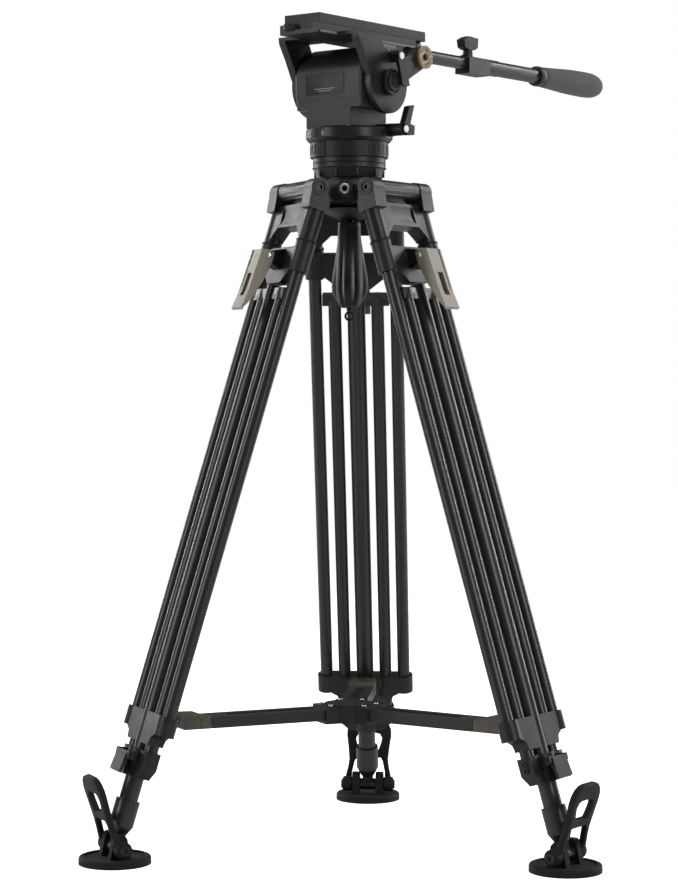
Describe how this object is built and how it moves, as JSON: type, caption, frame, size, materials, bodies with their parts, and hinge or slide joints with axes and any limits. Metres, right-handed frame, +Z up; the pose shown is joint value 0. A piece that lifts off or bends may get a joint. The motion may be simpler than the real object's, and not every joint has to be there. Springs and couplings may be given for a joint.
{
  "type": "tripod with fluid head",
  "caption": "Three-legged camera tripod with twin-tube legs, mid-level spreader, rubber feet and a fluid head with a foam-gripped pan bar.",
  "frame": {"origin": "point on the floor under the middle of the bowl", "axes": "+Z up, +Y towards the rear leg, so legs 1 and 2 are front left and front right"},
  "size_m": [0.6183, 0.6009, 1.0025],
  "materials": {
    "casting": "die-cast aluminium, satin black paint",
    "carbon_tube": "black fibre-wrapped tube, satin",
    "khaki_lever": "cast lever, khaki paint",
    "black_plastic": "glass-filled black plastic, fine grain",
    "foot_rubber": "moulded black rubber",
    "spreader_tube": "rectangular tube, satin black",
    "steel": "turned steel",
    "head_metal": "cast aluminium, charcoal paint",
    "grey_rail": "light grey anodised rail",
    "rosette_gold": "tan anodised rosette",
    "plate_metal": "black anodised plate",
    "bar_metal": "black anodised tube",
    "foam_grip": "grey foam grip"
  },
  "bodies": {
    "crown": {"crown": "casting", "hinge_pins": "steel"},
    "cup": {"clamp_cup": "casting"},
    "ball": {"half_ball": "casting"},
    "tie_down": {"tie_handle": "black_plastic"},
    "pan_drag": {"drag_ring": "black_plastic"},
    "pan": {"pan_housing": "head_metal", "tilt_housing": "head_metal", "tilt_shaft": "steel"},
    "pan_lock": {"pan_lever": "black_plastic"},
    "tilt": {"platform": "grey_rail", "side_plates": "head_metal", "rosettes": "rosette_gold"},
    "tilt_drag": {"drag_knob": "black_plastic"},
    "tilt_lock": {"tilt_lever": "black_plastic"},
    "plate": {"camera_plate": "plate_metal"},
    "screw": {"camera_screw": "steel"},
    "plate_lock": {"plate_lever": "grey_rail"},
    "bar": {"pan_bar": "bar_metal"},
    "bar_end": {"bar_extension": "bar_metal", "grip": "foam_grip"},
    "bar_screw": {"clamp_screw": "black_plastic"},
    "spreader": {"spreader_hub": "black_plastic", "spreader_arms": "spreader_tube"},
    "leg_1": {"yoke_1": "casting", "brace_1": "casting", "upper_tubes_1": "carbon_tube", "lower_casting_1": "casting"},
    "leg_lock_1": {"lock_lever_1": "khaki_lever"},
    "middle_1": {"mid_tubes_1": "carbon_tube", "mid_block_1": "casting"},
    "middle_lock_1": {"lower_lever_1": "black_plastic"},
    "lower_1": {"lower_leg_1": "carbon_tube"},
    "foot_1": {"foot_pad_1": "foot_rubber"},
    "strap_1": {"foot_strap_1": "foot_rubber"},
    "arm_1": {"spreader_tip_1": "khaki_lever"},
    "leg_2": {"yoke_2": "casting", "brace_2": "casting", "upper_tubes_2": "carbon_tube", "lower_casting_2": "casting"},
    "leg_lock_2": {"lock_lever_2": "khaki_lever"},
    "middle_2": {"mid_tubes_2": "carbon_tube", "mid_block_2": "casting"},
    "middle_lock_2": {"lower_lever_2": "black_plastic"},
    "lower_2": {"lower_leg_2": "carbon_tube"},
    "foot_2": {"foot_pad_2": "foot_rubber"},
    "strap_2": {"foot_strap_2": "foot_rubber"},
    "arm_2": {"spreader_tip_2": "khaki_lever"},
    "leg_3": {"yoke_3": "casting", "brace_3": "casting", "upper_tubes_3": "carbon_tube", "lower_casting_3": "casting"},
    "leg_lock_3": {"lock_lever_3": "khaki_lever"},
    "middle_3": {"mid_tubes_3": "carbon_tube", "mid_block_3": "casting"},
    "middle_lock_3": {"lower_lever_3": "black_plastic"},
    "lower_3": {"lower_leg_3": "carbon_tube"},
    "foot_3": {"foot_pad_3": "foot_rubber"},
    "strap_3": {"foot_strap_3": "foot_rubber"},
    "arm_3": {"spreader_tip_3": "khaki_lever"}
  },
  "joints": [
    {"name": "level_side", "type": "hinge", "parent": "crown", "child": "cup", "pos_m": [0, 0, 0.806], "axis": [1, 0, 0], "range_deg": [-4, 4]},
    {"name": "level_fore_aft", "type": "hinge", "parent": "cup", "child": "ball", "pos_m": [0, 0, 0.806], "axis": [0, 1, 0], "range_deg": [-4, 4]},
    {"name": "tie_down_turn", "type": "hinge", "parent": "ball", "child": "tie_down", "pos_m": [0, 0, 0.7], "axis": [0, 0, 1], "continuous": true},
    {"name": "pan_drag_turn", "type": "hinge", "parent": "ball", "child": "pan_drag", "pos_m": [0, 0, 0.842], "axis": [0, 0, 1], "range_deg": [0, 300]},
    {"name": "pan_turn", "type": "hinge", "parent": "ball", "child": "pan", "pos_m": [0, 0, 0.86], "axis": [0, 0, 1], "continuous": true},
    {"name": "pan_lock_turn", "type": "hinge", "parent": "pan", "child": "pan_lock", "pos_m": [0.05385, -0.01793, 0.8655], "axis": [-0.8415, 0.5402, 0], "range_deg": [-30, 30]},
    {"name": "tilt_turn", "type": "hinge", "parent": "pan", "child": "tilt", "pos_m": [0, 0, 0.921], "axis": [-0.8415, 0.5402, 0], "range_deg": [-70, 45]},
    {"name": "tilt_drag_turn", "type": "hinge", "parent": "pan", "child": "tilt_drag", "pos_m": [0.05386, -0.03458, 0.921], "axis": [-0.8415, 0.5402, 0], "range_deg": [0, 300]},
    {"name": "tilt_lock_turn", "type": "hinge", "parent": "tilt", "child": "tilt_lock", "pos_m": [0.05373, -0.02737, 0.952], "axis": [-0.8415, 0.5402, 0], "range_deg": [-35, 35]},
    {"name": "plate_slide", "type": "slide", "parent": "tilt", "child": "plate", "axis": [0.5402, 0.8415, 0], "range_m": [-0.03, 0.03]},
    {"name": "camera_screw_turn", "type": "hinge", "parent": "plate", "child": "screw", "pos_m": [0, 0, 0.99], "axis": [0, 0, 1], "continuous": true},
    {"name": "plate_lock_turn", "type": "hinge", "parent": "tilt", "child": "plate_lock", "pos_m": [0.02644, -0.00509, 0.97], "axis": [0, 0, 1], "range_deg": [-28, 0]},
    {"name": "bar_angle", "type": "hinge", "parent": "tilt", "child": "bar", "pos_m": [0.07538, 0.03598, 0.958], "axis": [-0.8415, 0.5402, 0], "range_deg": [-50, 5]},
    {"name": "bar_extend", "type": "slide", "parent": "bar", "child": "bar_end", "axis": [0.5402, 0.8415, 0], "range_m": [0, 0.06]},
    {"name": "bar_screw_turn", "type": "hinge", "parent": "bar", "child": "bar_screw", "pos_m": [0.13847, 0.14164, 0.964], "axis": [0, 0, 1], "continuous": true},
    {"name": "splay_1", "type": "hinge", "parent": "crown", "child": "leg_1", "pos_m": [-0.05802, -0.0335, 0.792], "axis": [-0.5, 0.866, 0], "range_deg": [0, 9]},
    {"name": "leg_lock_turn_1", "type": "hinge", "parent": "leg_1", "child": "leg_lock_1", "pos_m": [-0.09731, -0.05618, 0.71298], "axis": [-0.5, 0.866, 0], "range_deg": [0, 50]},
    {"name": "middle_slide_1", "type": "slide", "parent": "leg_1", "child": "middle_1", "axis": [-0.2604, -0.1504, -0.9537], "range_m": [0, 0.4]},
    {"name": "middle_lock_turn_1", "type": "hinge", "parent": "middle_1", "child": "middle_lock_1", "pos_m": [-0.25148, -0.14519, 0.12924], "axis": [-0.5, 0.866, 0], "range_deg": [0, 60]},
    {"name": "lower_slide_1", "type": "slide", "parent": "middle_1", "child": "lower_1", "axis": [-0.2604, -0.1504, -0.9537], "range_m": [0, 0.4]},
    {"name": "ankle_1", "type": "hinge", "parent": "lower_1", "child": "foot_1", "pos_m": [-0.26247, -0.15154, 0.02], "axis": [-0.5, 0.866, 0], "range_deg": [-18, 10]},
    {"name": "strap_fold_1", "type": "hinge", "parent": "foot_1", "child": "strap_1", "pos_m": [-0.26247, -0.15154, 0.02], "axis": [0.5, -0.866, 0], "range_deg": [0, 50]},
    {"name": "splay_2", "type": "hinge", "parent": "crown", "child": "leg_2", "pos_m": [0.05802, -0.0335, 0.792], "axis": [-0.5, -0.866, 0], "range_deg": [0, 9]},
    {"name": "leg_lock_turn_2", "type": "hinge", "parent": "leg_2", "child": "leg_lock_2", "pos_m": [0.09731, -0.05618, 0.71298], "axis": [-0.5, -0.866, 0], "range_deg": [0, 50]},
    {"name": "middle_slide_2", "type": "slide", "parent": "leg_2", "child": "middle_2", "axis": [0.2604, -0.1504, -0.9537], "range_m": [0, 0.4]},
    {"name": "middle_lock_turn_2", "type": "hinge", "parent": "middle_2", "child": "middle_lock_2", "pos_m": [0.25148, -0.14519, 0.12924], "axis": [-0.5, -0.866, 0], "range_deg": [0, 60]},
    {"name": "lower_slide_2", "type": "slide", "parent": "middle_2", "child": "lower_2", "axis": [0.2604, -0.1504, -0.9537], "range_m": [0, 0.4]},
    {"name": "ankle_2", "type": "hinge", "parent": "lower_2", "child": "foot_2", "pos_m": [0.26247, -0.15154, 0.02], "axis": [-0.5, -0.866, 0], "range_deg": [-18, 10]},
    {"name": "strap_fold_2", "type": "hinge", "parent": "foot_2", "child": "strap_2", "pos_m": [0.26247, -0.15154, 0.02], "axis": [0.5, 0.866, 0], "range_deg": [0, 50]},
    {"name": "splay_3", "type": "hinge", "parent": "crown", "child": "leg_3", "pos_m": [0, 0.067, 0.792], "axis": [1, 0, 0], "range_deg": [0, 9]},
    {"name": "leg_lock_turn_3", "type": "hinge", "parent": "leg_3", "child": "leg_lock_3", "pos_m": [0, 0.11236, 0.71298], "axis": [1, 0, 0], "range_deg": [0, 50]},
    {"name": "middle_slide_3", "type": "slide", "parent": "leg_3", "child": "middle_3", "axis": [0, 0.3007, -0.9537], "range_m": [0, 0.4]},
    {"name": "middle_lock_turn_3", "type": "hinge", "parent": "middle_3", "child": "middle_lock_3", "pos_m": [0, 0.29038, 0.12924], "axis": [1, 0, 0], "range_deg": [0, 60]},
    {"name": "lower_slide_3", "type": "slide", "parent": "middle_3", "child": "lower_3", "axis": [0, 0.3007, -0.9537], "range_m": [0, 0.4]},
    {"name": "ankle_3", "type": "hinge", "parent": "lower_3", "child": "foot_3", "pos_m": [0, 0.30307, 0.02], "axis": [1, 0, 0], "range_deg": [-18, 10]},
    {"name": "strap_fold_3", "type": "hinge", "parent": "foot_3", "child": "strap_3", "pos_m": [0, 0.30307, 0.02], "axis": [-1, 0, 0], "range_deg": [0, 50]},
    {"name": "spreader_rise", "type": "slide", "parent": "crown", "child": "spreader", "axis": [0, 0, 1], "range_m": [0, 0.0351]},
    {"name": "arm_extend_1", "type": "slide", "parent": "spreader", "child": "arm_1", "axis": [-0.866, -0.5, 0], "range_m": [0, 0.0982]},
    {"name": "arm_extend_2", "type": "slide", "parent": "spreader", "child": "arm_2", "axis": [0.866, -0.5, 0], "range_m": [0, 0.0982]},
    {"name": "arm_extend_3", "type": "slide", "parent": "spreader", "child": "arm_3", "axis": [0, 1, 0], "range_m": [0, 0.0982]}
  ],
  "couplings": [
    {"joint": "splay_2", "follows": "splay_1", "ratio": 1},
    {"joint": "splay_3", "follows": "splay_1", "ratio": 1},
    {"joint": "spreader_rise", "follows": "splay_1", "m_per_rad": 0.21718},
    {"joint": "arm_extend_1", "follows": "splay_1", "m_per_rad": 0.6122},
    {"joint": "arm_extend_2", "follows": "splay_1", "m_per_rad": 0.6122},
    {"joint": "arm_extend_3", "follows": "splay_1", "m_per_rad": 0.6122}
  ]
}
